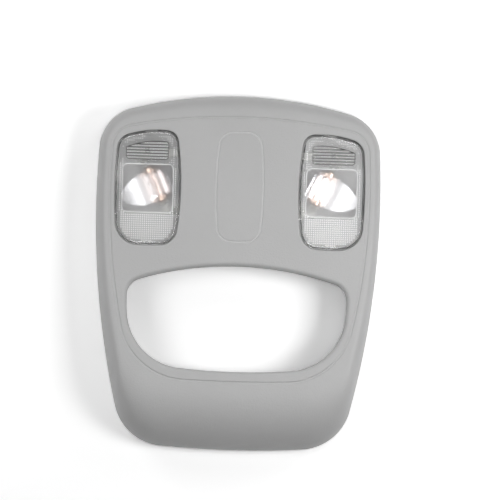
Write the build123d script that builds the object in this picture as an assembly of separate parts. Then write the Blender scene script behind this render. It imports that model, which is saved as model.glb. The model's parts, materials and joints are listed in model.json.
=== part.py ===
from build123d import *
import os
from math import radians, sin, sqrt

# Overhead console lamp of a car: a moulded housing with two press-to-switch map lamps, a plain field
# between them and one large through opening behind them. All sizes are in millimetres.
# Frame: X across the car, +Y towards the front edge, +Z out of the visible face. The origin is the
# middle of the rim, on the plane that meets the roof lining. Lamp pieces are drawn on the right-hand
# side in the plane of the face, with Z = 0 on its surface, and mirrored for the left.

# Rim of the housing
RIM_HALF_LENGTH = 131.5
RIM_HALF_WIDTH = 105.6
RIM_WIDEST_Y = 52.0
RIM_FRONT_RADIUS = 310.0
RIM_SIDE_RADIUS = 645.0
RIM_REAR_RADIUS = 690.0
RIM_FRONT_CORNER = 32.0
RIM_REAR_CORNER = 38.0
WALL = 2.6

# Border from the groove of the face to the rim, flat at first and then rounded down
FRONT_SHOULDER = 15.3
SIDE_SHOULDER = 9.2
REAR_SHOULDER = 50.5
FLAT_BAND = 3.0
FLAT_REAR_CORNER = 30.0
FRONT_HEIGHT = 26.0
REAR_HEIGHT = 38.0
SHOULDER_POWERS = (2.4, 2.4, 2.0, 2.4)
SHOULDER_STEPS = 6

# Field of the face inside its fine groove
FIELD_WIDEST_Y = 60.0
FIELD_FRONT_RADIUS = 420.0
FIELD_SIDE_RADIUS = 480.0
FIELD_REAR_RADIUS = 900.0
FIELD_FRONT_CORNER = 17.0
FIELD_REAR_CORNER = 50.0
GROOVE_WIDTH = 2.0
GROOVE_DEPTH = 0.6
POCKET_ROUND = 1.4

# Lens pockets, one each side of the blank field
POCKET_SIDE_MARGIN = 3.5
POCKET_FRONT_MARGIN = 11.2
POCKET_WIDTH = 49.0
POCKET_LENGTH = 85.7
POCKET_CREST = 16.1
POCKET_FRONT_RADIUS = 80.0
POCKET_OUTER_RADIUS = 350.0
POCKET_REAR_RADIUS = 150.0
POCKET_INNER_RADIUS = 240.0
POCKET_CORNERS = (9.0, 13.0, 17.0, 12.0)
POCKET_WALL = 2.0
POCKET_DEPTH = 10.0

# Blank field between the pockets
BLANK_HALF_WIDTH = 17.6
BLANK_FRONT_MARGIN = 0.2
BLANK_REAR_MARGIN = 4.2
BLANK_SIDE_RADIUS = 300.0
BLANK_END_RADIUS = 120.0
BLANK_CORNER = 11.0

# Console opening and the return flange round it
BRIDGE = 13.8
OPENING_SIDE_MARGIN = 14.9
OPENING_REAR_MARGIN = 8.0
OPENING_WEB = 4.0
OPENING_WIDEST = 25.5
OPENING_FRONT_RADIUS = 240.0
OPENING_SIDE_RADIUS = 130.0
OPENING_REAR_RADIUS = 450.0
OPENING_FRONT_CORNER = 13.0
OPENING_REAR_CORNER = 43.5
OPENING_LEAST_CORNER = 6.5
OPENING_ROUND = 3.5
FLANGE_WALL = 2.4
FLANGE_DEPTH = 9.0

# Ribs and bosses on the back of the housing
RIB = 1.6
RIB_DEPTH = 8.0
RIB_COUNT = 3
ROOF_HALF_SPACING = 35.0
ROOF_FRONT_INSET = 18.5
ROOF_REAR_INSET = 31.5
ROOF_BOSS_RADIUS = 4.5
ROOF_HOLE_RADIUS = 1.7
ROOF_HOLE_DEPTH = 15.0
ROOF_BOSS_GAP = 2.0
GUSSET_REACH = 12.0

# Lens
LENS_GAP = 1.0
LENS_SINK = 0.5
LENS_PLATE = 2.4
LENS_DEPTH = 8.0
LENS_SKIRT = 1.6
LENS_EDGE_ROUND = 1.0
PIVOT_FROM_REAR = 22.7
PIVOT_DEPTH = 4.3
PIN_RADIUS = 1.5
PIN_HOLD = 1.7
RUNNING_CLEARANCE = 0.05
TONGUE_WIDTH = 7.5
TONGUE_OFFSET = 1.9
TONGUE_REACH = 1.4
TONGUE_THICKNESS = 2.0
TONGUE_CLEARANCE = 0.3
TONGUE_GAP = 0.4
PAD_FRONT_MARGIN = 7.0
PAD_INNER_MARGIN = 8.3
PAD_OUTER_MARGIN = 6.6
PAD_LENGTH = 14.4
PAD_DEPTH = 1.3
PAD_BACKING = 2.2
PAD_CREST = 8.0
PAD_OUTER_CREST = 4.8
PAD_FRONT_RADIUS = 60.0
PAD_SIDE_RADIUS = 60.0
PAD_REAR_RADIUS = 800.0
PAD_CORNERS = (6.0, 3.0, 3.0, 3.0)
PAD_RIB_PITCH = 2.2
PAD_RIB_RADIUS = 0.75
WINDOW_GAP = 3.3
WINDOW_LENGTH = 35.3
WINDOW_INNER_MARGIN = 4.9
WINDOW_OUTER_MARGIN = 5.0
WINDOW_CORNER = 3.5
WINDOW_RECESS = 0.8
POST_RADIUS = 2.0
POST_DEPTH = 7.5
PRESS_CLEARANCE = 0.1

# Lamp base
TRAY_DEPTH = 13.5
TRAY_FLOOR = 2.0
EAR_REACH = 7.5
EAR_RADIUS = 4.0
EAR_THICKNESS = 2.5
BOSS_RADIUS = 3.8
SCREW_RADIUS = 1.25
SCREW_CLEARANCE = 0.05
SCREW_HOLE_RADIUS = 1.6
SCREW_LENGTH = 8.5
SCREW_TIP_ROOM = 0.4
SCREW_HEAD_RADIUS = 2.8
SCREW_HEAD = 2.0
SCREW_RECESS = 1.0
STAKE_RADIUS = 1.0
STAKE_RISE = 0.6

# Festoon bulb and its reflector
BULB_X_OFFSET = -6.1
BULB_FROM_SWITCH = 24.4
BULB_DEPTH = 12.5
BULB_LEAN = 25.8
GLASS_RADIUS = 4.25
GLASS_WALL = 0.7
GLASS_HALF_LENGTH = 9.5
GLASS_NECK = 2.0
CAP_RADIUS = 3.4
CAP_LENGTH = 3.5
CAP_CONE = 2.8
CAP_TIP_RADIUS = 1.2
FILAMENT_RADIUS = 0.25
COIL_RADIUS = 0.6
COIL_HALF_LENGTH = 4.0
FOCUS = 5.5
REFLECTOR_SHEET = 0.6
REFLECTOR_TILT = 25.0
REFLECTOR_HALF_LENGTH = 12.2
REFLECTOR_INNER_REACH = 12.0
REFLECTOR_OUTER_REACH = 22.5
REFLECTOR_INNER_CORNER = 5.0
CRADLE_RIB = 1.6
CRADLE_HALF_SPACING = 6.5
CRADLE_MARGIN = 4.0
SEAT_CLEARANCE = 0.1

# Contact strips
STRIP = 0.8
TAB_WIDTH = 6.3
TAB_LENGTH = 8.5
LEAF_WIDTH = 7.2
LEAF_RISE = 4.5
LEAF_FROM_CAP = 1.6
LEAF_HOLE_RADIUS = 2.3
FOOT_LENGTH = 5.9
STRIP_CLEARANCE = 0.3

# Push switch
SWITCH_WIDTH = 14.0
SWITCH_LENGTH = 11.0
SWITCH_HEIGHT = 7.7
SWITCH_FLOOR = 1.0
COVER = 1.2
NEST_WALL = 1.2
NEST_RISE = 4.0
NEST_CLEARANCE = 0.2
STEM_RADIUS = 1.9
COLLAR_RADIUS = 3.0
COLLAR = 1.2
CONTACT_SPLIT = 1.5
SPRING_RADIUS = 2.2
SPRING_WIRE = 0.4
SPRING_TURNS = 4


class Outline:
    """Closed outline of four side arcs, front, left, rear and right, joined by round corners.

    A side is (apex x, apex y, outward angle, radius). Corner i joins side i to the next one.
    """

    def __init__(self, sides, corners):
        self.sides = list(sides)
        self.corners = list(corners)

    def inset(self, distance):
        """The same outline with every arc moved inwards."""
        sides = []
        for x, y, angle, radius in self.sides:
            inward = Vector(-distance, 0).rotate(Axis.Z, angle)
            sides.append((x + inward.X, y + inward.Y, angle, radius - distance))
        return Outline(sides, [corner - distance for corner in self.corners])

    def blended(self, other, shares):
        """An outline on the way to another one, each side by its own share of the way."""
        sides, corners = [], []
        for index, share in enumerate(shares):
            mine, theirs = self.sides[index], other.sides[index]
            sides.append(tuple(a + share * (b - a) for a, b in zip(mine, theirs)))
            corner_share = (share + shares[(index + 1) % 4]) / 2
            corners.append(self.corners[index] + corner_share * (other.corners[index] - self.corners[index]))
        return Outline(sides, corners)

    def circle(self, index):
        """Centre and radius of a side's circle."""
        x, y, angle, radius = self.sides[index % 4]
        return Vector(x, y) - Vector(radius, 0).rotate(Axis.Z, angle), radius

    def corner_centre(self, index):
        """Centre of the corner arc that touches a side and the next one from inside."""
        first, first_radius = self.circle(index)
        second, second_radius = self.circle(index + 1)
        first_reach = first_radius - self.corners[index % 4]
        second_reach = second_radius - self.corners[index % 4]
        span = second - first
        along = (first_reach**2 - second_reach**2 + span.length**2) / (2 * span.length)
        aside = sqrt(first_reach**2 - along**2)
        forward = span.normalized()
        return first + forward * along + Vector(-forward.Y, forward.X) * aside

    def x_at(self, index, y):
        """X of the left (1) or right (3) side arc at a height y."""
        centre, radius = self.circle(index)
        half_chord = sqrt(radius**2 - (y - centre.Y) ** 2)
        return centre.X + (half_chord if index == 3 else -half_chord)

    def wire(self):
        """The outline as a wire, running anticlockwise."""
        edges = []
        for index in range(4):
            centre, radius = self.circle(index)
            corner = self.corner_centre(index)
            start = centre + (self.corner_centre(index - 1) - centre).normalized() * radius
            end = centre + (corner - centre).normalized() * radius
            middle = centre + (start + end - centre * 2).normalized() * radius
            edges.append(ThreePointArc(start, middle, end))
            following, following_radius = self.circle(index + 1)
            corner_end = following + (corner - following).normalized() * following_radius
            bulge = (end + corner_end - corner * 2).normalized()
            edges.append(ThreePointArc(end, corner + bulge * self.corners[index], corner_end))
        return Wire(edges)

    def prism(self, low, high):
        """A solid of this outline between two heights."""
        return extrude(Pos(0, 0, low) * Face(self.wire()), high - low, dir=(0, 0, 1))


def symmetric_outline(half_width, widest_y, side_radius, front, rear, corners):
    """An outline mirrored about X = 0, with front and rear as (y, radius).

    The rear corners are no larger than the length of the sides leaves room for.
    """
    drops = [radius - sqrt(radius**2 - half_width**2) for y, radius in (front, rear)]
    side_length = front[0] - rear[0] - sum(drops)
    front_corner = corners[0]
    rear_corner = min(corners[1], side_length - front_corner)
    sides = [
        (0, front[0], 90, front[1]),
        (-half_width, widest_y, 180, side_radius),
        (0, rear[0], 270, rear[1]),
        (half_width, widest_y, 0, side_radius),
    ]
    return Outline(sides, (front_corner, rear_corner, rear_corner, front_corner))


# Outlines of the housing
field_front_y = RIM_HALF_LENGTH - FRONT_SHOULDER
field_rear_y = REAR_SHOULDER - RIM_HALF_LENGTH
field_half_width = RIM_HALF_WIDTH - SIDE_SHOULDER
rim = symmetric_outline(
    RIM_HALF_WIDTH,
    RIM_WIDEST_Y,
    RIM_SIDE_RADIUS,
    (RIM_HALF_LENGTH, RIM_FRONT_RADIUS),
    (-RIM_HALF_LENGTH, RIM_REAR_RADIUS),
    (RIM_FRONT_CORNER, RIM_REAR_CORNER),
)
field = symmetric_outline(
    field_half_width,
    FIELD_WIDEST_Y,
    FIELD_SIDE_RADIUS,
    (field_front_y, FIELD_FRONT_RADIUS),
    (field_rear_y, FIELD_REAR_RADIUS),
    (FIELD_FRONT_CORNER, FIELD_REAR_CORNER),
)
flat = field.inset(-FLAT_BAND)
flat.corners[1:3] = FLAT_REAR_CORNER, FLAT_REAR_CORNER

# Plane of the face, which falls towards the front
slope = (REAR_HEIGHT - FRONT_HEIGHT) / (field_front_y - field_rear_y)
face_height = FRONT_HEIGHT + slope * field_front_y
face_plane = Plane(origin=(0, 0, face_height), x_dir=(1, 0, 0), z_dir=(0, slope, 1))
face = face_plane.location

# Right-hand lens pocket
pocket_outer_x = field_half_width - POCKET_SIDE_MARGIN
pocket_inner_x = pocket_outer_x - POCKET_WIDTH
pocket_front_y = field_front_y - POCKET_FRONT_MARGIN
pocket_rear_y = pocket_front_y - POCKET_LENGTH
middle_x = (pocket_inner_x + pocket_outer_x) / 2
middle_y = (pocket_front_y + pocket_rear_y) / 2
pocket = Outline(
    [
        (pocket_inner_x + POCKET_CREST, pocket_front_y, 90, POCKET_FRONT_RADIUS),
        (pocket_inner_x, middle_y, 180, POCKET_INNER_RADIUS),
        (middle_x, pocket_rear_y, 270, POCKET_REAR_RADIUS),
        (pocket_outer_x, middle_y, 0, POCKET_OUTER_RADIUS),
    ],
    POCKET_CORNERS,
)
lens_edge = pocket.inset(LENS_GAP)

# Blank field and console opening
blank = symmetric_outline(
    BLANK_HALF_WIDTH,
    middle_y,
    BLANK_SIDE_RADIUS,
    (pocket_front_y + BLANK_FRONT_MARGIN, BLANK_END_RADIUS),
    (pocket_rear_y + BLANK_REAR_MARGIN, BLANK_END_RADIUS),
    (BLANK_CORNER, BLANK_CORNER),
)
opening_front_y = pocket_rear_y - BRIDGE
opening_rear_y = field_rear_y + OPENING_REAR_MARGIN
opening = symmetric_outline(
    field_half_width - OPENING_SIDE_MARGIN,
    opening_front_y - OPENING_WIDEST,
    OPENING_SIDE_RADIUS,
    (opening_front_y, OPENING_FRONT_RADIUS),
    (opening_rear_y, OPENING_REAR_RADIUS),
    (OPENING_FRONT_CORNER, OPENING_REAR_CORNER),
)

# Levels below the face, and the places that pieces share
lens_under = LENS_SINK + LENS_PLATE
floor_z = -POCKET_DEPTH - TRAY_DEPTH + TRAY_FLOOR
screw_seat = -POCKET_DEPTH - EAR_THICKNESS
pivot_y = pocket_rear_y + PIVOT_FROM_REAR
tongue_x = middle_x - TONGUE_OFFSET
tongue_top = -WALL - TONGUE_CLEARANCE
pad_front_y = pocket_front_y - LENS_GAP - PAD_FRONT_MARGIN
pad_rear_y = pad_front_y - PAD_LENGTH
pad_inner_x = pocket_inner_x + LENS_GAP + PAD_INNER_MARGIN
pad_outer_x = pocket_outer_x - LENS_GAP - PAD_OUTER_MARGIN
pad = Outline(
    [
        (pad_inner_x + PAD_CREST, pad_front_y, 90, PAD_FRONT_RADIUS),
        (pad_inner_x, pad_rear_y + PAD_LENGTH / 2, 180, PAD_SIDE_RADIUS),
        ((pad_inner_x + pad_outer_x) / 2, pad_rear_y, 270, PAD_REAR_RADIUS),
        (pad_outer_x, pad_rear_y + PAD_OUTER_CREST, 0, PAD_SIDE_RADIUS),
    ],
    PAD_CORNERS,
)
switch_x = (pad_inner_x + pad_outer_x) / 2
switch_y = (pad_front_y + pad_rear_y) / 2
switch_z = floor_z + STRIP
cover_z = switch_z + SWITCH_HEIGHT
bulb_y = switch_y - BULB_FROM_SWITCH
bulb = Pos(middle_x + BULB_X_OFFSET, bulb_y, -BULB_DEPTH) * Rot(0, 0, -BULB_LEAN)
bulb_axis = bulb * Rot(-90, 0, 0)
bulb_section = bulb * Rot(90, 0, 0)
leaf_start = GLASS_HALF_LENGTH + CAP_LENGTH + LEAF_FROM_CAP
foot_end = bulb * Pos(0, -leaf_start - FOOT_LENGTH, 0)
ground_y = foot_end.position.Y
tab_end_x = pocket_inner_x - POCKET_WALL - TAB_LENGTH
ear_places = [
    Pos(pocket_inner_x - EAR_REACH, bulb_y),
    Pos(middle_x, pocket_rear_y - EAR_REACH),
    Pos(pocket_inner_x + POCKET_CREST, pocket_front_y + EAR_REACH),
]
ear_webs = [
    Pos(EAR_REACH / 2, 0) * Rectangle(EAR_REACH, 2 * EAR_RADIUS),
    Pos(0, EAR_REACH / 2) * Rectangle(2 * EAR_RADIUS, EAR_REACH),
    Pos(0, -EAR_REACH / 2) * Rectangle(2 * EAR_RADIUS, EAR_REACH),
]


def rod(radius, low, high):
    """A round rod along Z between two heights."""
    return Pos(0, 0, low) * Cylinder(radius, high - low, align=(Align.CENTER, Align.CENTER, Align.MIN))


def cross_rod(radius, y, z, start_x, end_x):
    """A round rod along X between two places."""
    return Pos((start_x + end_x) / 2, y, z) * Rot(0, 90, 0) * Cylinder(radius, end_x - start_x)


def slab(sketch, low, high):
    """A sketch in the plane of the face, thickened between two heights."""
    return extrude(Pos(0, 0, low) * sketch, high - low, dir=(0, 0, 1))


def rectangle(start_x, end_x, start_y, end_y):
    """A rectangle between two corners."""
    return Pos((start_x + end_x) / 2, (start_y + end_y) / 2) * Rectangle(end_x - start_x, end_y - start_y)


def both_sides(shape):
    """A right-hand feature and its mirror image."""
    return shape + mirror(shape, about=Plane.YZ)


def shoulder(outer_rim, height):
    """Solid dome from a rim to the flat of the face, with a rounded shoulder of varying width."""
    wires = []
    for step in range(SHOULDER_STEPS + 1):
        rise = sin(radians(90 * step / SHOULDER_STEPS))
        outward = [(1 - rise**power) ** (1 / power) for power in SHOULDER_POWERS]
        place = Plane(origin=(0, 0, rise * height), x_dir=(1, 0, 0), z_dir=(0, rise * slope, 1))
        wires.append(place.location * flat.blended(outer_rim, outward).wire())
    return Solid.make_loft(wires)


def groove(outline):
    """Round-bottomed cutter that follows an outline on the face."""
    radius = (GROOVE_WIDTH**2 / 4 + GROOVE_DEPTH**2) / (2 * GROOVE_DEPTH)
    path = Pos(0, 0, radius - GROOVE_DEPTH) * outline.wire()
    start = Plane(origin=path.position_at(0), z_dir=path.tangent_at(0))
    return sweep(start * Circle(radius), path=path)


def opening_sketch(outset):
    """The opening, or its flange from outside, which stops a web short of the field's edge."""
    inside_field = field.inset(OPENING_WEB - outset)
    clipped = make_face(opening.inset(-outset).wire()) & make_face(inside_field.wire())
    return offset(offset(clipped, -OPENING_LEAST_CORNER), OPENING_LEAST_CORNER)


def roof_bosses(radius, low, high):
    """Four upright rods on the roof screw pattern."""
    rods = []
    for x in (-ROOF_HALF_SPACING, ROOF_HALF_SPACING):
        for y in (RIM_HALF_LENGTH - ROOF_FRONT_INSET, ROOF_REAR_INSET - RIM_HALF_LENGTH):
            rods.append(Pos(x, y) * rod(radius, low, high))
    return rods


def gussets(low, high):
    """Crossed webs that stiffen the four roof bosses."""
    webs = []
    for x in (-ROOF_HALF_SPACING, ROOF_HALF_SPACING):
        for y in (RIM_HALF_LENGTH - ROOF_FRONT_INSET, ROOF_REAR_INSET - RIM_HALF_LENGTH):
            for width, length in ((RIB, 2 * GUSSET_REACH), (2 * GUSSET_REACH, RIB)):
                webs.append(slab(Pos(x, y) * Rectangle(width, length), low, high))
    return webs


def round_mouth(body, order, radius):
    """Round the mouth of one hole in the face, counted from the rear."""
    outward = Axis(face_plane.origin, face_plane.z_dir)
    field_face = body.faces().filter_by(face_plane).sort_by(outward)[-1]
    mouth = field_face.inner_wires().sort_by(Axis.Y)[order]
    return body.fillet(radius, mouth.edges())


def make_housing():
    """Moulded shell with its pocket walls, flange, bosses, ribs, openings and grooves."""
    dome = shoulder(rim, face_height)
    shell = dome - shoulder(rim.inset(WALL), face_height - WALL)
    root_z = -WALL / 2
    walls = pocket.inset(-POCKET_WALL).prism(-POCKET_DEPTH, root_z)
    for place in ear_places:
        walls += place * rod(BOSS_RADIUS, -POCKET_DEPTH, root_z)
    walls = both_sides(walls) + slab(opening_sketch(FLANGE_WALL), -FLANGE_DEPTH, root_z)
    for count in range(1, RIB_COUNT + 1):
        y = pocket_rear_y + POCKET_LENGTH * count / (RIB_COUNT + 1)
        rib = rectangle(-pocket_inner_x, pocket_inner_x, y - RIB / 2, y + RIB / 2)
        walls += slab(rib, -RIB_DEPTH, root_z)
    walls = face * walls
    top_z = face_height + RIM_HALF_LENGTH * slope
    for post in roof_bosses(ROOF_BOSS_RADIUS, ROOF_BOSS_GAP, top_z):
        walls += post
    for web in gussets(ROOF_BOSS_GAP + RIB_DEPTH, top_z):
        walls += web
    body = shell + (walls & dome)

    through = both_sides(pocket.prism(-2 * POCKET_DEPTH, POCKET_DEPTH))
    body -= face * (through + slab(opening_sketch(0), -2 * POCKET_DEPTH, POCKET_DEPTH))
    for order, radius in enumerate((OPENING_ROUND, POCKET_ROUND, POCKET_ROUND)):
        body = round_mouth(body, order, radius)

    tongue_slot = rectangle(
        tongue_x - TONGUE_WIDTH / 2 - LENS_GAP,
        tongue_x + TONGUE_WIDTH / 2 + LENS_GAP,
        pocket_front_y - POCKET_CREST / 2,
        pocket_front_y + POCKET_WALL + LENS_GAP,
    )
    cuts = slab(tongue_slot, -POCKET_DEPTH - LENS_GAP, tongue_top + TONGUE_CLEARANCE)
    cuts += cross_rod(
        PIN_RADIUS + RUNNING_CLEARANCE,
        pivot_y,
        -PIVOT_DEPTH,
        pocket_inner_x - 2 * POCKET_WALL,
        pocket_outer_x + POCKET_WALL + LENS_GAP,
    )
    hole_end = screw_seat + SCREW_LENGTH + SCREW_TIP_ROOM
    for place in ear_places:
        cuts += place * rod(SCREW_RADIUS + SCREW_CLEARANCE, -POCKET_DEPTH, hole_end)
    body -= face * both_sides(cuts)
    body -= face * groove(field)
    body -= face * groove(blank)
    for hole in roof_bosses(ROOF_HOLE_RADIUS, 0, ROOF_BOSS_GAP + ROOF_HOLE_DEPTH):
        body -= hole
    return body


def make_lens():
    """Rocking lens: plate with skirt, side pins, stop tongue, ribbed pad, window and push post."""
    lens = lens_edge.prism(-LENS_SINK - LENS_DEPTH, -LENS_SINK)
    top_edges = lens.faces().sort_by(Axis.Z)[-1].edges()
    lens = fillet(top_edges, LENS_EDGE_ROUND)
    lens -= lens_edge.inset(LENS_SKIRT).prism(-LENS_SINK - LENS_DEPTH, -lens_under)

    pad_floor = -LENS_SINK - PAD_DEPTH
    lens += pad.inset(-LENS_SKIRT).prism(pad_floor - PAD_BACKING, -lens_under)
    recess = pad.prism(pad_floor, 0)
    ribs = []
    rib_count = int(PAD_LENGTH / PAD_RIB_PITCH)
    first_rib_y = switch_y - PAD_RIB_PITCH * (rib_count - 1) / 2
    for count in range(rib_count):
        y = first_rib_y + PAD_RIB_PITCH * count
        ribs.append(cross_rod(PAD_RIB_RADIUS, y, pad_floor, pad_inner_x, pad_outer_x) & recess)
    lens -= recess
    for rib in ribs:
        lens += rib

    window = rectangle(
        pocket_inner_x + LENS_GAP + WINDOW_INNER_MARGIN,
        pocket_outer_x - LENS_GAP - WINDOW_OUTER_MARGIN,
        pad_rear_y - WINDOW_GAP - WINDOW_LENGTH,
        pad_rear_y - WINDOW_GAP,
    )
    window = fillet(window.vertices(), WINDOW_CORNER)
    lens -= slab(window, -lens_under, -lens_under + WINDOW_RECESS)

    for side, inward in ((1, 1), (3, -1)):
        start_x = lens_edge.x_at(side, pivot_y) + inward * LENS_SKIRT
        end_x = pocket.x_at(side, pivot_y) - inward * PIN_HOLD
        lens += cross_rod(PIN_RADIUS, pivot_y, -PIVOT_DEPTH, min(start_x, end_x), max(start_x, end_x))
    tongue = rectangle(
        tongue_x - TONGUE_WIDTH / 2,
        tongue_x + TONGUE_WIDTH / 2,
        pocket_front_y - LENS_GAP - 2 * LENS_SKIRT,
        pocket_front_y + TONGUE_REACH,
    )
    lens += slab(tongue, tongue_top - TONGUE_THICKNESS, tongue_top)
    root_top = -LENS_SINK - LENS_EDGE_ROUND
    lens += slab(tongue, tongue_top, root_top) & pocket.inset(TONGUE_GAP).prism(tongue_top, root_top)
    post_end = POST_RADIUS - POST_DEPTH
    lens += Pos(switch_x, switch_y) * rod(POST_RADIUS, post_end, pad_floor - PAD_BACKING / 2)
    lens += Pos(switch_x, switch_y, post_end) * Sphere(POST_RADIUS)
    return lens


def parabola(focus, start, end):
    """Exact parabola about the bulb axis, opening along the tilted axis of the reflector."""
    points = [
        (start, start**2 / (4 * focus) - focus),
        ((start + end) / 2, start * end / (4 * focus) - focus),
        (end, end**2 / (4 * focus) - focus),
    ]
    return Rot(0, 0, -REFLECTOR_TILT) * Bezier(*points)


def make_reflector():
    """Formed sheet scoop with the bulb at its focus, cut round in plan."""
    inside = parabola(FOCUS, -REFLECTOR_INNER_REACH, REFLECTOR_OUTER_REACH)
    outside = parabola(FOCUS + REFLECTOR_SHEET, -REFLECTOR_INNER_REACH, REFLECTOR_OUTER_REACH)
    edges = [inside, Line(inside @ 1, outside @ 1), outside, Line(outside @ 0, inside @ 0)]
    trough = extrude(bulb_section * make_face(edges), REFLECTOR_HALF_LENGTH, both=True)
    near = min((inside @ 0).X, (outside @ 0).X)
    far = max((inside @ 1).X, (outside @ 1).X)
    plan = rectangle(near, far, -REFLECTOR_HALF_LENGTH, REFLECTOR_HALF_LENGTH)
    plan = fillet(plan.vertices().sort_by(Axis.X)[:2], REFLECTOR_INNER_CORNER)
    plan &= Ellipse(far, REFLECTOR_HALF_LENGTH) + rectangle(near, 0, -far, far)
    return trough & bulb * slab(plan, -BULB_DEPTH, BULB_DEPTH)


def cradle_rib():
    """Upright rib of the lamp base, its top edge following the back of the reflector."""
    start = CRADLE_MARGIN - REFLECTOR_INNER_REACH
    end = REFLECTOR_OUTER_REACH - CRADLE_MARGIN
    top = parabola(FOCUS + REFLECTOR_SHEET + SEAT_CLEARANCE, start, end)
    foot = floor_z + BULB_DEPTH
    corners = Polyline(top @ 1, ((top @ 1).X, foot), ((top @ 0).X, foot), top @ 0)
    return extrude(make_face([top, corners]), CRADLE_RIB / 2, both=True)


def foot_sketch(direction):
    """Foot of a bulb contact, running outwards from its leaf along the bulb."""
    near = direction * leaf_start
    far = direction * (leaf_start + FOOT_LENGTH)
    foot = rectangle(-TAB_WIDTH / 2, TAB_WIDTH / 2, min(near, far), max(near, far))
    return bulb * Pos(0, 0, BULB_DEPTH) * foot


def stake_hole(x, y):
    """Hole in a strip for the stake that holds it."""
    return Pos(x, y) * Circle(STAKE_RADIUS + NEST_CLEARANCE)


def feed_sketch():
    """Feed strip, straight from its tab to the inner half of the switch."""
    half_width = TAB_WIDTH / 2
    return rectangle(tab_end_x, switch_x - CONTACT_SPLIT, switch_y - half_width, switch_y + half_width)


def ground_sketch():
    """Ground strip, from its tab to the foot of the rear bulb contact."""
    half_width = TAB_WIDTH / 2
    end_x = foot_end.position.X + half_width
    run = rectangle(tab_end_x, end_x, ground_y - half_width, ground_y + half_width)
    return run + foot_sketch(-1)


def link_sketch():
    """Switch strip, from the foot of the front bulb contact to the outer half of the switch."""
    pad_end_x = switch_x + SWITCH_WIDTH / 2
    contact = rectangle(
        switch_x + CONTACT_SPLIT, pad_end_x, switch_y - TAB_WIDTH - NEST_WALL, switch_y + TAB_WIDTH / 2
    )
    return contact + foot_sketch(1)


stake_step = TAB_LENGTH + POCKET_WALL + 2 * STAKE_RADIUS
feed_stake = (pocket_inner_x + stake_step, switch_y)
ground_stake = (pocket_inner_x + TAB_WIDTH, ground_y)
link_foot = bulb * Pos(0, leaf_start + FOOT_LENGTH / 2, 0)
link_stake = (link_foot.position.X, link_foot.position.Y)


def make_strip(sketch, stake, leaf_direction=0):
    """Stamped strip on the floor of the base, with an upright leaf where it meets the bulb."""
    strip = slab(sketch - stake_hole(*stake), floor_z, floor_z + STRIP)
    if leaf_direction:
        leaf = rectangle(-LEAF_WIDTH / 2, LEAF_WIDTH / 2, floor_z + BULB_DEPTH, LEAF_RISE)
        leaf -= Circle(LEAF_HOLE_RADIUS)
        along = leaf_direction * (leaf_start + STRIP / 2)
        strip += bulb * Pos(0, along, 0) * Rot(90, 0, 0) * extrude(leaf, STRIP / 2, both=True)
    return strip


def make_base():
    """Lamp base: tray with screw ears, switch nest, reflector cradle and strip stakes."""
    under = -POCKET_DEPTH - TRAY_DEPTH
    base = pocket.inset(-POCKET_WALL).prism(under, -POCKET_DEPTH)
    for place, web in zip(ear_places, ear_webs):
        ear = place * (Circle(EAR_RADIUS) + web)
        base += slab(ear, screw_seat, -POCKET_DEPTH)
    base -= pocket.prism(floor_z, -POCKET_DEPTH)
    for place in ear_places:
        base -= place * rod(SCREW_HOLE_RADIUS, screw_seat, -POCKET_DEPTH)
    for along in (-CRADLE_HALF_SPACING, CRADLE_HALF_SPACING):
        base += bulb * Pos(0, along, 0) * Rot(90, 0, 0) * cradle_rib()
    room = Rectangle(SWITCH_WIDTH + 2 * NEST_CLEARANCE, SWITCH_LENGTH + 2 * NEST_CLEARANCE)
    frame = offset(room, NEST_WALL, kind=Kind.INTERSECTION) - room
    base += slab(Pos(switch_x, switch_y) * frame, floor_z, floor_z + NEST_RISE)
    for sketch in (feed_sketch(), ground_sketch(), link_sketch()):
        room = offset(sketch, STRIP_CLEARANCE, kind=Kind.INTERSECTION)
        base -= slab(room, floor_z, floor_z + STRIP + STRIP_CLEARANCE)
    for x, y in (feed_stake, ground_stake, link_stake):
        base += Pos(x, y) * rod(STAKE_RADIUS, floor_z - TRAY_FLOOR / 2, floor_z + STRIP + STAKE_RISE)
    return base


def turned(points):
    """A turned piece along the bulb axis from its half profile of radius and length."""
    profile = make_face(Polyline(*points, close=True))
    return bulb_axis * revolve(Plane.XZ * profile, axis=Axis.Z)


def make_glass():
    """Glass tube of the bulb, drawn in to a neck at both ends."""
    straight = GLASS_HALF_LENGTH - GLASS_NECK
    bore = GLASS_RADIUS - GLASS_WALL
    neck = CAP_RADIUS - GLASS_WALL
    points = [
        (neck, -GLASS_HALF_LENGTH),
        (CAP_RADIUS, -GLASS_HALF_LENGTH),
        (GLASS_RADIUS, -straight),
        (GLASS_RADIUS, straight),
        (CAP_RADIUS, GLASS_HALF_LENGTH),
        (neck, GLASS_HALF_LENGTH),
        (bore, straight),
        (bore, -straight),
    ]
    return turned(points)


def make_caps():
    """Two end caps, each with a cone that sits in the hole of its contact leaf."""
    caps = []
    for end in (-1, 1):
        shoulder_at = GLASS_HALF_LENGTH + CAP_LENGTH
        points = [
            (0, end * GLASS_HALF_LENGTH),
            (CAP_RADIUS, end * GLASS_HALF_LENGTH),
            (CAP_RADIUS, end * shoulder_at),
            (CAP_TIP_RADIUS, end * (shoulder_at + CAP_CONE)),
            (0, end * (shoulder_at + CAP_CONE)),
        ]
        caps.append(turned(points))
    return caps[0] + caps[1]


def make_filament():
    """Filament wire between the caps, wound close in the middle."""
    points = [
        (0, -GLASS_HALF_LENGTH),
        (FILAMENT_RADIUS, -GLASS_HALF_LENGTH),
        (FILAMENT_RADIUS, -COIL_HALF_LENGTH),
        (COIL_RADIUS, -COIL_HALF_LENGTH),
        (COIL_RADIUS, COIL_HALF_LENGTH),
        (FILAMENT_RADIUS, COIL_HALF_LENGTH),
        (FILAMENT_RADIUS, GLASS_HALF_LENGTH),
        (0, GLASS_HALF_LENGTH),
    ]
    return turned(points)


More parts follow.
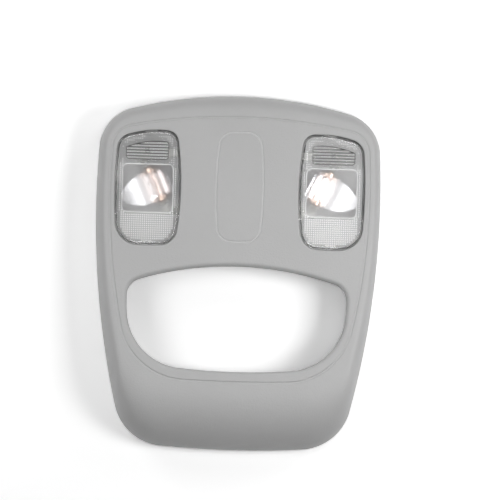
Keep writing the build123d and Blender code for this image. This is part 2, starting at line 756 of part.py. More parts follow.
cavity_radius = COLLAR_RADIUS + 2 * RUNNING_CLEARANCE
cavity_z = switch_z + SWITCH_FLOOR
collar_top = cover_z - PRESS_CLEARANCE
switch = Pos(switch_x, switch_y)


def make_switch_body():
    """Switch case, open at the top, standing on the ends of two strips."""
    case = slab(Rectangle(SWITCH_WIDTH, SWITCH_LENGTH), switch_z, cover_z)
    return switch * (case - rod(cavity_radius, cavity_z, cover_z))


def make_switch_cover():
    """Lid of the switch with the guide hole of the plunger."""
    lid = slab(Rectangle(SWITCH_WIDTH, SWITCH_LENGTH), cover_z, cover_z + COVER)
    return switch * (lid - rod(STEM_RADIUS + RUNNING_CLEARANCE, cover_z, cover_z + COVER))


def make_plunger():
    """Plunger with the collar that holds it under the lid."""
    stem = rod(STEM_RADIUS, collar_top - COLLAR, -POST_DEPTH - PRESS_CLEARANCE)
    return switch * (stem + rod(COLLAR_RADIUS, collar_top - COLLAR, collar_top))


def make_spring():
    """Coil spring between the case and the collar, of square wire."""
    low = cavity_z + SPRING_WIRE / 2 + RUNNING_CLEARANCE
    height = collar_top - COLLAR - SPRING_WIRE / 2 - RUNNING_CLEARANCE - low
    path = Helix(height / SPRING_TURNS, height, SPRING_RADIUS)
    start = Plane(origin=path @ 0, x_dir=(0, 0, 1), z_dir=path % 0)
    wire = sweep(start * Rectangle(SPRING_WIRE, SPRING_WIRE), path=path, is_frenet=True)
    return switch * Pos(0, 0, low) * wire


def make_screws():
    """Three pan-head screws that hold the base to the housing from behind."""
    screw = rod(SCREW_RADIUS, screw_seat, screw_seat + SCREW_LENGTH)
    screw += rod(SCREW_HEAD_RADIUS, screw_seat - SCREW_HEAD, screw_seat)
    slot = Rectangle(2 * SCREW_RECESS + STRIP, STRIP) + Rectangle(STRIP, 2 * SCREW_RECESS + STRIP)
    screw -= slab(slot, screw_seat - SCREW_HEAD, screw_seat - SCREW_HEAD + SCREW_RECESS)
    return [place * screw for place in ear_places]


def save(shape, name):
    """Write one piece to its own file."""
    export_step(shape, f"parts/{name}.step")


os.makedirs("parts", exist_ok=True)
save(make_housing(), "housing")
pieces = {
    "lens": make_lens(),
    "lamp_base": make_base(),
    "reflector": make_reflector(),
    "bulb_glass": make_glass(),
    "bulb_caps": make_caps(),
    "bulb_filament": make_filament(),
    "ground_strip": make_strip(ground_sketch(), ground_stake, -1),
    "switch_strip": make_strip(link_sketch(), link_stake, 1),
    "feed_strip": make_strip(feed_sketch(), feed_stake),
    "switch_body": make_switch_body(),
    "switch_cover": make_switch_cover(),
    "switch_plunger": make_plunger(),
    "switch_spring": make_spring(),
    "base_screws": Compound(make_screws()),
}
for name, shape in pieces.items():
    right = face * shape
    save(right, f"{name}_right")
    save(mirror(right, about=Plane.YZ), f"{name}_left")
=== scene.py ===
import json
from math import cos, pi, radians, sin, sqrt, tau

import bmesh
import bpy
from mathutils import Matrix, Vector
from mathutils.bvhtree import BVHTree


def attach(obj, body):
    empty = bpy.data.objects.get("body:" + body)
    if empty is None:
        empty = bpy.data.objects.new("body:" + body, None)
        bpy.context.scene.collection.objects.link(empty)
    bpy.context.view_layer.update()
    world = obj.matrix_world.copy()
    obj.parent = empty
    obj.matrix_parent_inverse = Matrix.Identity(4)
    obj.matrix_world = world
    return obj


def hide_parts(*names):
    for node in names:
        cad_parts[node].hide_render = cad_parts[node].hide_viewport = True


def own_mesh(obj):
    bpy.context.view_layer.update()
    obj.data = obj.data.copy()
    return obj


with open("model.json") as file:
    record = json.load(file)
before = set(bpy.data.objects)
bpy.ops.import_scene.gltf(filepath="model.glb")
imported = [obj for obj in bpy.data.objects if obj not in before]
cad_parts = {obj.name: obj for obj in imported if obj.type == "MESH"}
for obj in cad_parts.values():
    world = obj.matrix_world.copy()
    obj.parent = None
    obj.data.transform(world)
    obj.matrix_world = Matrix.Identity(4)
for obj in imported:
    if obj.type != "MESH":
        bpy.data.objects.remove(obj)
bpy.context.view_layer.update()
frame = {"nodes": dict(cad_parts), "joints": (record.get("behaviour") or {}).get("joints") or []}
nodes = frame["nodes"]


# Housing: the console's one-piece shell, injection moulded in light grey ABS with a fine spark-eroded
# grain. It screws to the roof from behind and carries every other piece. Its face slopes, so places on
# it are given in millimetres in the face's own frame, found from the lens pivot and the plunger's axis.
MM = 0.001
PIVOT = Vector((68.4, 42.0, -4.3))
POCKET_BOX, POCKET_CORNER = (43.4, 93.4, 18.8, 105.5), 9.0
# Painted shade: the walls of the lens pockets are darkened from just below the face, standing for the shade
# in the gap round each lens.
POCKET_SHADE_STARTS, POCKET_SHADE_FULL, POCKET_SHADE_ENDS = -0.5, -1.4, -8.5
POCKET_SHADE = "#353433"
BLANK_BOX, BLANK_CORNER = (-20.0, 20.0, 21.0, 107.5), 5.0
GROOVE_TOP, GROOVE_FLOOR = -0.03, -0.7
# Painted light: the groove round the blank field is drawn paler, standing for the light that its walls catch.
GROOVE_PAINTED_LIGHT = "#c1c1c1"
CLOUD, CLOUD_DETAIL, GRAIN_DETAIL = 40.0, 3.0, 2.0
PLASTIC_IOR = 1.5
# A rectangle on the face counts as reaching this far up and down, past the whole object.
EVERY_HEIGHT = 1000.0
# A Mix node's sockets for its factor and two colours, and for the mixed colour that comes out.
FACTOR, FIRST_COLOUR, SECOND_COLOUR, MIXED_COLOUR = 0, 6, 7, 2

joints = {joint["name"]: joint for joint in frame["joints"]}
outwards = -Vector(joints["plunger_right_travel"]["axis"])
across = Vector((1, 0, 0))
turned = Matrix((across, outwards.cross(across), outwards)).transposed()
face_middle = Vector(joints["lens_right_press"]["pos_m"]) - turned @ PIVOT * MM
face = Matrix.Translation(face_middle) @ turned.to_4x4()


def linear(hex_colour):
    """An sRGB hex colour as the linear RGBA that shaders take."""
    channels = [int(hex_colour[i : i + 2], 16) / 255 for i in (1, 3, 5)]
    curve = [c / 12.92 if c <= 0.04045 else ((c + 0.055) / 1.055) ** 2.4 for c in channels]
    return (*curve, 1.0)


def add_node(tree, kind, inputs=None, **settings):
    """Add one node with its settings. Each input named gets a value, or a link from a socket."""
    node = tree.nodes.new(kind)
    for name, value in settings.items():
        setattr(node, name, value)
    for name, value in (inputs or {}).items():
        if isinstance(value, bpy.types.NodeSocket):
            tree.links.new(value, node.inputs[name])
        else:
            node.inputs[name].default_value = value
    return node


def new_material(name):
    """An empty node material and its tree."""
    material = bpy.data.materials.new(name)
    material.use_nodes = True
    material.node_tree.nodes.clear()
    return material, material.node_tree


def place_on_face(tree):
    """Where a point lies by the sloping face, in mm: outwards from the middle, forwards and up."""
    place = add_node(
        tree,
        "ShaderNodeMapping",
        {
            "Vector": add_node(tree, "ShaderNodeTexCoord").outputs["Object"],
            "Location": face.translation,
            "Rotation": face.to_euler(),
            "Scale": (MM, MM, MM),
        },
        vector_type="TEXTURE",
    )
    axes = add_node(tree, "ShaderNodeSeparateXYZ", {"Vector": place.outputs["Vector"]}).outputs
    aside = add_node(tree, "ShaderNodeMath", {0: axes["X"]}, operation="ABSOLUTE").outputs[0]
    both_sides = add_node(tree, "ShaderNodeCombineXYZ", {"X": aside, "Y": axes["Y"], "Z": axes["Z"]})
    return both_sides.outputs["Vector"], axes["Z"]


def beyond(tree, place, box, corner):
    """How far a place lies outside a rounded rectangle on the face, in mm; under 0 inside it."""
    start_x, end_x, start_y, end_y = box
    middle = ((start_x + end_x) / 2, (start_y + end_y) / 2, 0)
    straight = ((end_x - start_x) / 2 - corner, (end_y - start_y) / 2 - corner, EVERY_HEIGHT)
    nothing = (0, 0, 0)
    steps = (("SUBTRACT", middle), ("ABSOLUTE", nothing), ("SUBTRACT", straight), ("MAXIMUM", nothing))
    for operation, operand in steps:
        step = add_node(tree, "ShaderNodeVectorMath", {0: place, 1: operand}, operation=operation)
        place = step.outputs["Vector"]
    reach = add_node(tree, "ShaderNodeVectorMath", {0: place}, operation="LENGTH").outputs["Value"]
    return add_node(tree, "ShaderNodeMath", {0: reach, 1: corner}, operation="SUBTRACT").outputs[0]


def recess(tree, box, corner, top, floor):
    """1 within a rounded rectangle on the face between two heights, else 0; and the height itself."""
    place, height = place_on_face(tree)
    outside = beyond(tree, place, box, corner)
    within = add_node(tree, "ShaderNodeMath", {0: outside, 1: 0.0}, operation="LESS_THAN").outputs[0]
    for limit, operation in ((top, "LESS_THAN"), (floor, "GREATER_THAN")):
        kept = add_node(tree, "ShaderNodeMath", {0: height, 1: limit}, operation=operation).outputs[0]
        within = add_node(tree, "ShaderNodeMath", {0: within, 1: kept}, operation="MULTIPLY").outputs[0]
    return within, height


def pocket_painted_shade(tree):
    """1 low on the walls of the lens pockets, where shade is painted into the gap, fading to 0 at the face.
    """
    on_wall, height = recess(tree, POCKET_BOX, POCKET_CORNER, POCKET_SHADE_STARTS, POCKET_SHADE_ENDS)
    fading = add_node(
        tree,
        "ShaderNodeMapRange",
        {"Value": height, "From Min": POCKET_SHADE_STARTS, "From Max": POCKET_SHADE_FULL, "To Max": on_wall},
    )
    return fading.outputs["Result"]


def blank_groove_painted_light(tree):
    """1 in the groove round the blank field, drawn a little paler as painted light, so that it shows as a
    light line.
    """
    return recess(tree, BLANK_BOX, BLANK_CORNER, GROOVE_TOP, GROOVE_FLOOR)[0]


def mottled(tree, colours, patch_mm, detail):
    """Two tones in soft patches of a size in mm: the mixed colour, and how far it is the second tone."""
    place = add_node(tree, "ShaderNodeTexCoord").outputs["Object"]
    size = {"Vector": place, "Scale": 1 / (patch_mm * MM), "Detail": detail}
    amount = add_node(tree, "ShaderNodeTexNoise", size).outputs["Fac"]
    first, second = colours
    tones = {FACTOR: amount, FIRST_COLOUR: linear(first), SECOND_COLOUR: linear(second)}
    return add_node(tree, "ShaderNodeMix", tones, data_type="RGBA").outputs[MIXED_COLOUR], amount


def relief(tree, widths_mm, depth_mm, detail):
    """The normal of a finely uneven surface, from the bumps' width along each axis and their depth."""
    place = add_node(tree, "ShaderNodeTexCoord").outputs["Object"]
    sizes = {"Vector": place, "Scale": [1 / (width * MM) for width in widths_mm]}
    sized = add_node(tree, "ShaderNodeMapping", sizes).outputs["Vector"]
    bumps = add_node(tree, "ShaderNodeTexNoise", {"Vector": sized, "Scale": 1.0, "Detail": detail})
    height = {"Height": bumps.outputs["Fac"], "Distance": depth_mm * MM}
    return add_node(tree, "ShaderNodeBump", height).outputs["Normal"]


def moulded(name, colours, grain_mm, depth_mm, roughness, marks=()):
    """Moulded plastic: a dull sheen broken by a fine even grain, a slight cloudiness of tone, and marks."""
    material, tree = new_material(name)
    tone = mottled(tree, colours, CLOUD, CLOUD_DETAIL)[0]
    for find_mark, colour in marks:
        marking = {FACTOR: find_mark(tree), FIRST_COLOUR: tone, SECOND_COLOUR: linear(colour)}
        tone = add_node(tree, "ShaderNodeMix", marking, data_type="RGBA").outputs[MIXED_COLOUR]
    shader = add_node(
        tree,
        "ShaderNodeBsdfPrincipled",
        {
            "Base Color": tone,
            "Roughness": roughness,
            "IOR": PLASTIC_IOR,
            "Normal": relief(tree, (grain_mm, grain_mm, grain_mm), depth_mm, GRAIN_DETAIL),
        },
    )
    add_node(tree, "ShaderNodeOutputMaterial", {"Surface": shader.outputs["BSDF"]})
    return material


def dress(node_name, material):
    """Give a CAD node one material all over."""
    piece = nodes[node_name]
    piece.data.materials.clear()
    piece.data.materials.append(material)
    return piece


# Grained ABS looks flat and even, with a broad soft sheen on its shoulders. The real grain of about half
# a millimetre is drawn twice as coarse, or it would not show.
grained_abs = moulded(
    "grained light grey ABS",
    ("#b4b4b4", "#bababa"),
    grain_mm=1.1,
    depth_mm=0.2,
    roughness=0.5,
    # The marks are painted shade in the pocket gaps and a painted light line in the groove round the blank
    # field.
    marks=((pocket_painted_shade, POCKET_SHADE), (blank_groove_painted_light, GROOVE_PAINTED_LIGHT)),
)
dress("housing", grained_abs)


# Lamp bases: a tray behind each lens pocket, moulded in pale polypropylene and held by three screws.
# Ribs inside carry the reflector, a nest holds the switch, and stakes hold the contact strips.
# What lies on the left is the mirror image of what lies on the right.
SIDES = {"left": -1, "right": 1}

# Polypropylene off a plain mould is smooth and a little waxy.
pale_polypropylene = moulded(
    "pale moulded polypropylene", ("#c2c2c2", "#cacaca"), grain_mm=0.8, depth_mm=0.01, roughness=0.45
)
for side in SIDES:
    dress(f"lamp_base_{side}", pale_polypropylene)


# Contact strips: stamped from tin-plated brass sheet, with blade tabs for the loom, upright leaves that
# grip the bulb, and ends under the switch. Each lies on the floor of its base over a melted stake.
PATCH, PATCH_DETAIL = 6.0, 4.0
LINE_DEPTH, LINE_DETAIL = 0.002, 3.0


def worked_metal(name, colours, line_mm, roughness, depth_mm=LINE_DEPTH):
    """Bare metal with the fine lines of its rolling or drawing, and patches of duller tone."""
    material, tree = new_material(name)
    tone, dull = mottled(tree, colours, PATCH, PATCH_DETAIL)
    smooth, rough = roughness
    finish = add_node(tree, "ShaderNodeMapRange", {"Value": dull, "To Min": smooth, "To Max": rough})
    shader = add_node(
        tree,
        "ShaderNodeBsdfPrincipled",
        {
            "Base Color": tone,
            "Metallic": 1.0,
            "Roughness": finish.outputs["Result"],
            "Normal": relief(tree, line_mm, depth_mm, LINE_DETAIL),
        },
    )
    add_node(tree, "ShaderNodeOutputMaterial", {"Surface": shader.outputs["BSDF"]})
    return material


# Aged tin plate has a soft grey shine, streaked along the strip.
tinned_brass = worked_metal(
    "tin-plated brass sheet", ("#8f8f8d", "#a5a5a2"), line_mm=(4.0, 0.15, 0.15), roughness=(0.3, 0.5)
)
for side in SIDES:
    for kind in ("ground_strip", "switch_strip", "feed_strip"):
        dress(f"{kind}_{side}", tinned_brass)


# Push switches: a grey nylon case and lid that clip into the nest of the base, a natural acetal
# plunger that the lens's post pushes, and a coil spring of steel wire under its collar. The real spring
# shortens as the plunger goes down; the coil drawn here keeps its rest length and rides on the housing.
SPRING_FOOT = Vector((69.25, 89.8, -19.65))
SPRING_HEIGHT, SPRING_RADIUS, SPRING_WIRE, SPRING_TURNS = 5.3, 2.2, 0.2, 4
COIL_STEPS, WIRE_SIDES = 20, 8


def coil(radius, rise, wire, turns):
    """Round wire wound upwards about Z, from the height of the origin, with closed ends."""
    shape = bmesh.new()
    start = Matrix.Translation((radius * MM, 0, 0)) @ Matrix.Rotation(pi / 2, 4, "X")
    bmesh.ops.create_circle(shape, segments=WIRE_SIDES, radius=wire * MM, matrix=start)
    bmesh.ops.spin(
        shape,
        geom=shape.verts[:] + shape.edges[:],
        cent=(0, 0, 0),
        axis=(0, 0, 1),
        dvec=(0, 0, rise * MM / (turns * COIL_STEPS)),
        angle=turns * tau,
        steps=turns * COIL_STEPS,
        use_merge=False,
    )
    bmesh.ops.holes_fill(shape, edges=shape.edges)
    return shape


def new_piece(name, shape, materials, body):
    """An object made from a bmesh, riding on a body."""
    bmesh.ops.recalc_face_normals(shape, faces=shape.faces)
    mesh = bpy.data.meshes.new(name)
    shape.to_mesh(mesh)
    shape.free()
    for material in materials:
        mesh.materials.append(material)
    piece = bpy.data.objects.new(name, mesh)
    bpy.context.scene.collection.objects.link(piece)
    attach(piece, body)
    return piece


def seat(place, mirrored):
    """The face's frame moved to a place on it, on the left where mirrored is -1."""
    return face @ Matrix.Translation(Vector((mirrored * place.x, place.y, place.z)) * MM)


# Nylon is an even satin grey, acetal a creamy white with a slippery sheen, and spring wire dark and bright.
grey_nylon = moulded("grey moulded nylon", ("#8c8c8c", "#969696"), grain_mm=0.4, depth_mm=0.01, roughness=0.5)
natural_acetal = moulded(
    "natural moulded acetal", ("#d6d3c8", "#e0ddd2"), grain_mm=0.6, depth_mm=0.01, roughness=0.35
)
spring_steel = worked_metal(
    "drawn spring steel", ("#7c7c7e", "#98989a"), line_mm=(0.2, 0.2, 0.05), roughness=(0.25, 0.4)
)
for side, mirrored in SIDES.items():
    dress(f"switch_body_{side}", grey_nylon)
    dress(f"switch_cover_{side}", grey_nylon)
    dress(f"switch_plunger_{side}", natural_acetal)
    foot = seat(SPRING_FOOT, mirrored)
    wire = coil(SPRING_RADIUS, SPRING_HEIGHT - 2 * SPRING_WIRE, SPRING_WIRE, SPRING_TURNS)
    bmesh.ops.transform(wire, matrix=foot @ Matrix.Translation((0, 0, SPRING_WIRE * MM)), verts=wire.verts)
    spring = new_piece(f"spring_coil_{side}", wire, (spring_steel,), "housing")
    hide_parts(f"switch_spring_{side}")
    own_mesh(spring)


# Reflectors: a scoop of satin aluminium sheet, pressed to a parabola with the bulb at its focus. It
# rests on the two ribs of the base and throws the light towards the seat below.
# Satin aluminium mirrors the lamps as broad soft bands.
satin_aluminium = worked_metal(
    "satin aluminium sheet",
    ("#e0e0e2", "#e8e8ea"),
    line_mm=(0.3, 6.0, 0.3),
    roughness=(0.1, 0.14),
    depth_mm=0.0002,
)
for side in SIDES:
    dress(f"reflector_{side}", satin_aluminium)


# Bulbs: 31 mm festoon lamps, a drawn glass tube between two brass caps with cone ends. A tungsten coil
# hangs on copper-clad leads from cap to cap, and the leaves of the strips hold the cones.
BULB_PLACE = Vector((62.3, 65.4, -12.5))
BULB_LEAN = radians(25.8)
COIL_RADIUS, COIL_HALF_LENGTH, COIL_WIRE, COIL_TURNS = 0.5, 3.8, 0.1, 15
LEAD_RADIUS, LEAD_END, LEAD_SIDES = 0.22, 9.5, 10
GLASS_TONES, GLASS_IOR = ("#f6efec", "#faf6f4"), 1.5
GLASS_DRIFT, GLASS_RIPPLE, GLASS_RIPPLE_DEPTH, GLASS_DETAIL = 8.0, 5.0, 0.01, 2.0


def lamp_glass():
    """Drawn glass: clear and bright edged, with a faint drift of tint and a slight ripple."""
    material, tree = new_material("drawn lamp glass")
    ripples = (GLASS_RIPPLE, GLASS_RIPPLE, GLASS_RIPPLE)
    shader = add_node(
        tree,
        "ShaderNodeBsdfPrincipled",
        {
            "Base Color": mottled(tree, GLASS_TONES, GLASS_DRIFT, GLASS_DETAIL)[0],
            "Roughness": 0.0,
            "IOR": GLASS_IOR,
            "Transmission Weight": 1.0,
            "Normal": relief(tree, ripples, GLASS_RIPPLE_DEPTH, GLASS_DETAIL),
        },
    )
    add_node(tree, "ShaderNodeOutputMaterial", {"Surface": shader.outputs["BSDF"]})
    return material


# The caps are pale warm brass, the coil dull and dark, and the leads reddish.
glass = lamp_glass()
cap_brass = worked_metal(
    "plated brass cap", ("#d2b8a8", "#e0cabd"), line_mm=(0.2, 0.2, 2.0), roughness=(0.25, 0.4)
)
tungsten = worked_metal(
    "drawn tungsten wire", ("#5a5654", "#6e6a67"), line_mm=(0.05, 0.05, 0.4), roughness=(0.35, 0.5)
)
lead_copper = worked_metal(
    "copper-clad lead wire", ("#a8694c", "#bd8064"), line_mm=(0.05, 0.4, 0.05), roughness=(0.25, 0.4)
)
wire_metals = (tungsten, lead_copper)
for side, mirrored in SIDES.items():
    dress(f"bulb_glass_{side}", glass)
    dress(f"bulb_caps_{side}", cap_brass)
    leaning = Matrix.Rotation(-mirrored * BULB_LEAN, 4, "Z") @ Matrix.Rotation(-pi / 2, 4, "X")
    wire = coil(COIL_RADIUS, 2 * COIL_HALF_LENGTH, COIL_WIRE, COIL_TURNS)
    bmesh.ops.translate(wire, verts=wire.verts, vec=(0, 0, -COIL_HALF_LENGTH * MM))
    for end in (-1, 1):
        lead_middle = end * (LEAD_END + COIL_HALF_LENGTH) / 2
        lead = bmesh.ops.create_cone(
            wire,
            cap_ends=True,
            segments=LEAD_SIDES,
            radius1=LEAD_RADIUS * MM,
            radius2=LEAD_RADIUS * MM,
            depth=(LEAD_END - COIL_HALF_LENGTH) * MM,
            matrix=Matrix.Translation((0, 0, lead_middle * MM)),
        )
        for lead_face in {lead_face for corner in lead["verts"] for lead_face in corner.link_faces}:
            lead_face.material_index = wire_metals.index(lead_copper)
    bmesh.ops.transform(wire, matrix=seat(BULB_PLACE, mirrored) @ leaning, verts=wire.verts)
    filament = new_piece(f"filament_coil_{side}", wire, wire_metals, "housing")
    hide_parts(f"bulb_filament_{side}")


# Lenses: clear polycarbonate, moulded in one with skirt, pivot pins, stop tongue and ribbed finger pad.
# The mould left the window hazy within a white etched edge, and the back of the pad half clear. Shade is
# painted between the ribs of the pad and round its outline.
UNDERSIDE, SKIRT_BOTTOM = -2.0, -8.5
POLYCARBONATE_IOR = 1.58
# The pad's dark tone is painted shade, laid between its ribs and round its outline.
LENS_TONE, PAD_PAINTED_SHADE, POST_TONE = "#fdfdfd", "#565452", "#e2e2e2"
POLISH, UNDERSIDE_POLISH, WINDOW_HAZE, PAD_BACK_HAZE = 0.02, 0.06, 0.3, 0.4
CLEAR, ETCHED, HALF_ETCHED = 1.0, 0.1, 0.58
RIPPLE, RIPPLE_DEPTH, RIPPLE_DETAIL = 5.0, 0.01, 2.0
WINDOW_BOX, WINDOW_CORNER, WINDOW_EDGE = (49.8, 86.9, 44.0, 79.3), 3.5, 0.7
PAD_BOX, PAD_CORNER = (53.2, 85.3, 82.6, 97.0), 3.0
PAD_CREST, PAD_FRONT_RADIUS = 61.2, 60.0
PAD_OUTLINE = 0.7
# Painted shade between the ribs begins at the first height and is full at the second.
RIB_SHADE_STARTS, RIB_SHADE_FULL = -1.45, -1.7
PAD_BACK, POST_STARTS = -3.5, -4.1


def beyond_pad(tree, place):
    """How far a place lies outside the finger pad, whose front edge is an arc; under 0 inside it."""
    sides = beyond(tree, place, PAD_BOX, PAD_CORNER)
    flat = add_node(tree, "ShaderNodeVectorMath", {0: place, 1: (1, 1, 0)}, operation="MULTIPLY")
    ends = {0: flat.outputs["Vector"], 1: (PAD_CREST, PAD_BOX[3] - PAD_FRONT_RADIUS, 0)}
    reach = add_node(tree, "ShaderNodeVectorMath", ends, operation="DISTANCE").outputs["Value"]
    past_arc = add_node(tree, "ShaderNodeMath", {0: reach, 1: PAD_FRONT_RADIUS}, operation="SUBTRACT")
    outside = {0: sides, 1: past_arc.outputs[0]}
    return add_node(tree, "ShaderNodeMath", outside, operation="MAXIMUM").outputs[0]


def lens_plastic():
    """Clear plastic: glossy on top, hazy in the window and behind the pad, white where it was etched."""
    material, tree = new_material("clear moulded polycarbonate")
    place, height = place_on_face(tree)
    from_window = beyond(tree, place, WINDOW_BOX, WINDOW_CORNER)
    from_pad = beyond_pad(tree, place)

    # Each region of the lens is 1 inside and 0 outside.
    limits = {
        "underside": (height, UNDERSIDE),
        "window": (from_window, 0.0),
        "window or edge": (from_window, WINDOW_EDGE),
        "pad": (from_pad, 0.0),
        "pad in outline": (from_pad, -PAD_OUTLINE),
        "pad back": (height, PAD_BACK),
        "post": (height, POST_STARTS),
    }
    where = {}
    for name, (value, limit) in limits.items():
        where[name] = add_node(tree, "ShaderNodeMath", {0: value, 1: limit}, operation="LESS_THAN").outputs[0]
    within = {"window": "underside", "window or edge": "underside", "pad back": "pad", "post": "pad"}
    for name, whole in within.items():
        parts = {0: where[name], 1: where[whole]}
        where[name] = add_node(tree, "ShaderNodeMath", parts, operation="MULTIPLY").outputs[0]
    rings = {"edge": ("window or edge", "window"), "outline": ("pad", "pad in outline")}
    for name, (outer, inner) in rings.items():
        parts = {0: where[outer], 1: where[inner]}
        where[name] = add_node(tree, "ShaderNodeMath", parts, operation="SUBTRACT").outputs[0]

    # Painted shade lies low between the ribs and round the pad, on the upper side only.
    between_ribs = add_node(
        tree,
        "ShaderNodeMapRange",
        {
            "Value": height,
            "From Min": RIB_SHADE_STARTS,
            "From Max": RIB_SHADE_FULL,
            "To Max": where["pad"],
        },
    )
    in_pad = {0: between_ribs.outputs["Result"], 1: where["outline"]}
    shade_in_pad = add_node(tree, "ShaderNodeMath", in_pad, operation="MAXIMUM").outputs[0]
    on_top = {0: shade_in_pad, 1: where["underside"]}
    painted_shade = add_node(tree, "ShaderNodeMath", on_top, operation="SUBTRACT", use_clamp=True).outputs[0]
    shade_tones = {FACTOR: painted_shade, FIRST_COLOUR: linear(LENS_TONE), SECOND_COLOUR: linear(PAD_PAINTED_SHADE)}
    colour = add_node(tree, "ShaderNodeMix", shade_tones, data_type="RGBA").outputs[MIXED_COLOUR]
    shading = {FACTOR: where["post"], FIRST_COLOUR: colour, SECOND_COLOUR: linear(POST_TONE)}
    colour = add_node(tree, "ShaderNodeMix", shading, data_type="RGBA").outputs[MIXED_COLOUR]

    finish = {"Roughness": POLISH, "Transmission Weight": CLEAR}
    changes = (
        ("Roughness", "underside", UNDERSIDE_POLISH),
        ("Roughness", "window", WINDOW_HAZE),
        ("Roughness", "pad back", PAD_BACK_HAZE),
        ("Transmission Weight", "edge", ETCHED),
        ("Transmission Weight", "pad back", HALF_ETCHED),
        ("Transmission Weight", "post", ETCHED),
    )
    for quality, name, level in changes:
        change = {"Factor": where[name], "A": finish[quality], "B": level}
        finish[quality] = add_node(tree, "ShaderNodeMix", change).outputs["Result"]
    shader = add_node(
        tree,
        "ShaderNodeBsdfPrincipled",
        {
            "Base Color": colour,
            **finish,
            "IOR": POLYCARBONATE_IOR,
            "Normal": relief(tree, (RIPPLE, RIPPLE, RIPPLE), RIPPLE_DEPTH, RIPPLE_DETAIL),
        },
    )
    add_node(tree, "ShaderNodeOutputMaterial", {"Surface": shader.outputs["BSDF"]})
    return material


polycarbonate = lens_plastic()
lenses = {side: dress(f"lens_{side}", polycarbonate) for side in SIDES}


# Lens pattern: blocks in the field to the rear of the window and dots round the rest of it, on the inner
# side of each plate, etched in the mould to scatter the light over the cabin. They stand in rows of one
# pitch wherever the plate above them is plain, and ride with their lens.
UNDER_PLATE, PLATE_TOLERANCE = -2.9, 0.05
AIR = 0.03
PITCH = 1.58
COLUMNS, ROWS, FIRST_ROW = 31, 54, 21.2
BLOCKS_END = 43.5
BLOCK_WIDTHS, BLOCK_DEPTH, BLOCK_SIDES = (1.1, 0.7), 0.45, 4
DOT_RADII, DOT_DEPTH, DOT_SIDES = (0.5, 0.3), 0.3, 8
ETCHED_TONES = ("#f2f2f2", "#fcfcfc")
ETCHED_ROUGHNESS, PATTERN_CLEARNESS = 0.4, 0.12
FROST, FROST_DEPTH, FROST_DRIFT, FROST_DETAIL = 0.3, 0.01, 8.0, 2.0


def etched_plastic():
    """The lens's plastic where the mould was etched: white with scattered light, and barely clear."""
    material, tree = new_material("etched moulded polycarbonate")
    shader = add_node(
        tree,
        "ShaderNodeBsdfPrincipled",
        {
            "Base Color": mottled(tree, ETCHED_TONES, FROST_DRIFT, FROST_DETAIL)[0],
            "Roughness": ETCHED_ROUGHNESS,
            "IOR": POLYCARBONATE_IOR,
            "Transmission Weight": PATTERN_CLEARNESS,
            "Normal": relief(tree, (FROST, FROST, FROST), FROST_DEPTH, FROST_DETAIL),
        },
    )
    add_node(tree, "ShaderNodeOutputMaterial", {"Surface": shader.outputs["BSDF"]})
    return material


def plain_above(surface, x, y):
    """True where a square of one pitch on the face has only the plain plate of the lens above it."""
    for step_x in (-PITCH / 2, PITCH / 2):
        for step_y in (-PITCH / 2, PITCH / 2):
            start = face @ (Vector((x + step_x, y + step_y, SKIRT_BOTTOM)) * MM)
            hit = surface.ray_cast(start, outwards)[0]
            if hit is None or abs((face.inverted() @ hit).z / MM - UNDER_PLATE) > PLATE_TOLERANCE:
                return False
    return True


etched_polycarbonate = etched_plastic()
upside_down = Matrix.Rotation(pi, 4, "X") @ Matrix.Rotation(pi / 4, 4, "Z")
block_radii = [width / sqrt(2) for width in BLOCK_WIDTHS]
for side, mirrored in SIDES.items():
    mesh = lenses[side].data
    surface = BVHTree.FromPolygons([v.co for v in mesh.vertices], [p.vertices for p in mesh.polygons])
    blocks, dots = bmesh.new(), bmesh.new()
    for column in range(COLUMNS):
        for row in range(ROWS):
            place = Vector((PIVOT.x + (column - COLUMNS // 2) * PITCH, FIRST_ROW + row * PITCH, 0))
            if not plain_above(surface, mirrored * place.x, place.y):
                continue
            if place.y > BLOCKS_END:
                shape, sides, radii, depth = dots, DOT_SIDES, DOT_RADII, DOT_DEPTH
            else:
                shape, sides, radii, depth = blocks, BLOCK_SIDES, block_radii, BLOCK_DEPTH
            place.z = UNDER_PLATE - AIR - depth / 2
            bmesh.ops.create_cone(
                shape,
                cap_ends=True,
                segments=sides,
                radius1=radii[0] * MM,
                radius2=radii[1] * MM,
                depth=depth * MM,
                matrix=seat(place, mirrored) @ upside_down,
            )
    new_piece(f"lens_blocks_{side}", blocks, (etched_polycarbonate,), f"lens_{side}")
    new_piece(f"lens_dots_{side}", dots, (etched_polycarbonate,), f"lens_{side}")


# Base screws: three zinc-plated pan heads with a cross recess per side, cutting their own thread in the
# bosses of the housing from behind. Zinc plate is a bright grey, dulled to a warmer tone in patches.
zinc = worked_metal(
    "zinc-plated steel", ("#a9a9a6", "#c4c3bd"), line_mm=(0.3, 0.3, 0.1), roughness=(0.25, 0.4)
)
for side in SIDES:
    dress(f"base_screws_{side}", zinc)


# Floor: a sheet of white paper on a table, just under the rim that the console lies on. Paper is dull and
# even; the camera sees it whiter than it lights the object, and it keeps the object's shadow.
FLOOR_HALF_WIDTH = 6.0
FLOOR_DROP = 0.2
PAPER_LIGHTING, PAPER_SEEN = 0.79, 1.44


def seen_directly(tree):
    """1 for what the camera sees, straight, mirrored or through glass; 0 for light that bounces."""
    path = add_node(tree, "ShaderNodeLightPath").outputs
    total = path["Is Camera Ray"]
    for kind in ("Is Glossy Ray", "Is Transmission Ray"):
        total = add_node(tree, "ShaderNodeMath", {0: total, 1: path[kind]}, operation="MAXIMUM").outputs[0]
    return total


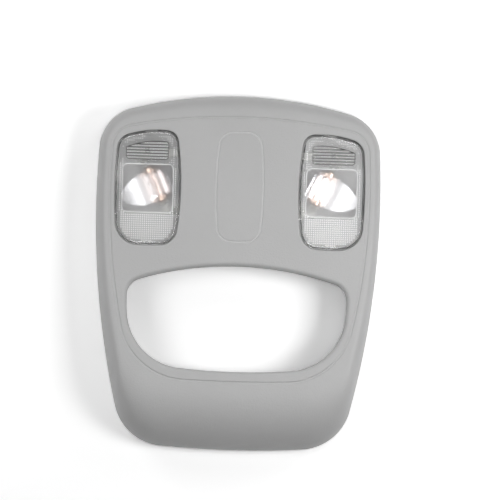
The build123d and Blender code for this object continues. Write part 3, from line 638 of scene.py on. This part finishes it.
paper, tree = new_material("white table paper")
whiteness = add_node(
    tree,
    "ShaderNodeMapRange",
    {"Value": seen_directly(tree), "To Min": PAPER_LIGHTING, "To Max": PAPER_SEEN},
)
lit = add_node(tree, "ShaderNodeBsdfDiffuse", {"Color": whiteness.outputs["Result"]})
add_node(tree, "ShaderNodeOutputMaterial", {"Surface": lit.outputs["BSDF"]})
floor_shape = bmesh.new()
bmesh.ops.create_grid(floor_shape, x_segments=1, y_segments=1, size=FLOOR_HALF_WIDTH)
bmesh.ops.translate(floor_shape, verts=floor_shape.verts, vec=(0, 0, -FLOOR_DROP * MM))
floor_mesh = bpy.data.meshes.new("floor")
floor_shape.to_mesh(floor_mesh)
floor_shape.free()
floor_mesh.materials.append(paper)
floor = bpy.data.objects.new("floor", floor_mesh)
bpy.context.scene.collection.objects.link(floor)


# Studio: a white surround that shows only to the camera, in gloss and through the lenses, and soft
# square lights, three of them near, which leave the rear slope and the right of the opening in shade.
# Places and widths of the lights are in metres, and their power is in watts.
world = bpy.data.worlds.new("studio")
bpy.context.scene.world = world
world.use_nodes = True
surround = world.node_tree.nodes["Background"].inputs
surround["Color"].default_value = (1, 1, 1, 1)
world.node_tree.links.new(seen_directly(world.node_tree), surround["Strength"])


def softbox(name, place, width, power, aim=(0, 0, 0)):
    """A square area light that faces a point."""
    light = bpy.data.lights.new(name, "AREA")
    light.shape = "SQUARE"
    light.size = width
    light.energy = power
    lamp = bpy.data.objects.new(name, light)
    lamp.location = place
    lamp.rotation_mode = "QUATERNION"
    lamp.rotation_quaternion = (Vector(aim) - Vector(place)).to_track_quat("-Z", "Y")
    bpy.context.scene.collection.objects.link(lamp)


softbox("near right", (0.45, -0.03, 0.5), width=0.25, power=1.9)
softbox("near left", (-0.45, 0.05, 0.5), width=0.25, power=0.76)
softbox("over right lens", (0.12, 0.1, 0.6), width=0.25, power=0.25, aim=(0.12, 0.1, 0))
softbox("overhead", (0, -0.08, 1.6), width=0.3, power=2.7)
softbox("low front left", (-1.025, 1.025, 0.676), width=0.7, power=5.4)
softbox("low front right", (1.025, 1.025, 0.676), width=0.7, power=4.2)
softbox("low front", (0, 1.45, 0.676), width=0.7, power=1.2)
softbox("rear left", (-0.8, -0.8, 1.131), width=0.7, power=2.6)


# Camera: nearly straight above, far off, so that the picture shows the plan almost without perspective.
# The picture is 500 pixels square, and the object's middle lies at one pixel of it.
PICTURE_WIDTH = 500
PIXEL = 0.7439 * MM
MIDDLE_PIXEL = (236.0, 273.5)
TURN = radians(1.7)
LEAN = radians(1.9)
DISTANCE, SIGHT_END = 12.0, 50.0
SENSOR_WIDTH = 36.0
right = Vector((cos(TURN), sin(TURN), 0))
up = Vector((-sin(TURN), cos(TURN), 0))
pixels_right = PICTURE_WIDTH / 2 - MIDDLE_PIXEL[0]
pixels_up = MIDDLE_PIXEL[1] - PICTURE_WIDTH / 2
aim = right * pixels_right * PIXEL + up * pixels_up * PIXEL
back = (Vector((0, 0, cos(LEAN))) - right * sin(LEAN)).normalized()
camera_right = up.cross(back).normalized()
camera_up = back.cross(camera_right)
camera_turn = Matrix((camera_right, camera_up, back)).transposed().to_4x4()
camera_data = bpy.data.cameras.new("camera")
camera_data.sensor_width = SENSOR_WIDTH
camera_data.lens = SENSOR_WIDTH * DISTANCE / (PICTURE_WIDTH * PIXEL)
camera_data.clip_end = SIGHT_END
camera = bpy.data.objects.new("camera", camera_data)
camera.matrix_world = Matrix.Translation(aim + back * DISTANCE) @ camera_turn
bpy.context.scene.collection.objects.link(camera)
bpy.context.scene.camera = camera
bpy.context.scene.view_settings.view_transform = "Standard"
